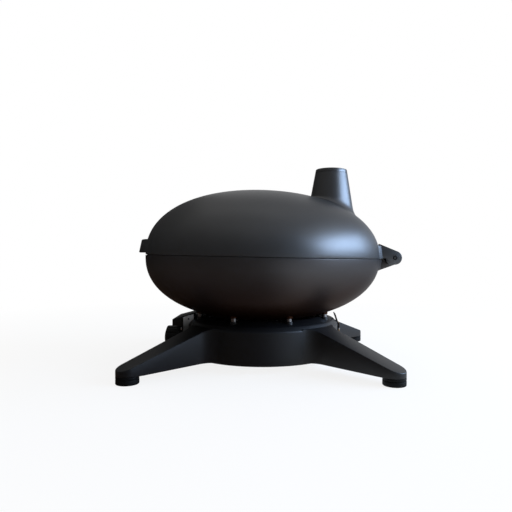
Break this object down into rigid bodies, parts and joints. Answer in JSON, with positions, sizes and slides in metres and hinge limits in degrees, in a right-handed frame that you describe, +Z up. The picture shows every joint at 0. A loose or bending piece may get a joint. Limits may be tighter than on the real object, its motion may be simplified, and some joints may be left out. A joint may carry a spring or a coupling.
{
  "type": "gas pizza oven",
  "caption": "Countertop gas pizza oven: a hinged lid with a chimney over a bowl that holds a burner and a round stone, on a legged base with a push-and-turn knob.",
  "frame": {"origin": "on the floor, under the middle of the object's outline", "axes": "+Z up; +Y from the knob and the lip handle at the front to the hinge at the rear; X along the hinge"},
  "size_m": [0.425, 0.4736, 0.3499],
  "materials": {
    "shell_coat": "satin charcoal coat on cast aluminium",
    "base_coat": "satin black coat on cast aluminium",
    "black_coat": "black coat on sheet steel",
    "steel": "stainless steel",
    "brass": "machined brass",
    "copper": "drawn copper tube",
    "rubber": "black rubber",
    "seal": "woven glass-fibre seal",
    "knob_black": "black moulded plastic",
    "knob_mark": "white moulded plastic",
    "ceramic": "white glazed ceramic",
    "stone": "matt fired cordierite"
  },
  "bodies": {
    "base": {"hinge_pins": "steel", "hinge_washers": "steel", "bowl_shell": "shell_coat", "rim_seal": "seal", "bowl_standoffs": "steel", "bowl_screws": "steel", "base_casting": "base_coat", "rubber_feet": "rubber", "foot_screws": "steel", "control_panel": "black_coat", "panel_screws": "steel", "valve_body": "brass", "gas_jet": "brass", "mixer_tube": "steel", "burner_plate": "steel", "burner_screws": "steel", "burner_ring": "steel", "igniter_electrode": "ceramic", "stone_carrier": "steel", "pizza_stone": "stone", "supply_pipe": "copper", "inlet_bracket": "black_coat", "bracket_screws": "steel", "gas_inlet": "brass", "inlet_nut": "brass"},
    "lid": {"lid_shell": "shell_coat", "chimney_ring": "shell_coat"},
    "plunger": {"valve_plunger": "brass"},
    "knob": {"knob": "knob_black", "knob_pointer": "knob_mark", "valve_stem": "steel"}
  },
  "joints": [
    {"name": "lid_hinge", "type": "hinge", "parent": "base", "child": "lid", "pos_m": [0, 0.22466, 0.18651], "axis": [-1, 0, 0], "range_deg": [0, 92]},
    {"name": "knob_push", "type": "slide", "parent": "base", "child": "plunger", "axis": [0, 1, 0], "range_m": [0, 0.003], "stiffness_N_per_m": 2000},
    {"name": "knob_turn", "type": "hinge", "parent": "plunger", "child": "knob", "pos_m": [0, -0.15885, 0.0385], "axis": [0, -1, 0], "range_deg": [0, 180]}
  ]
}
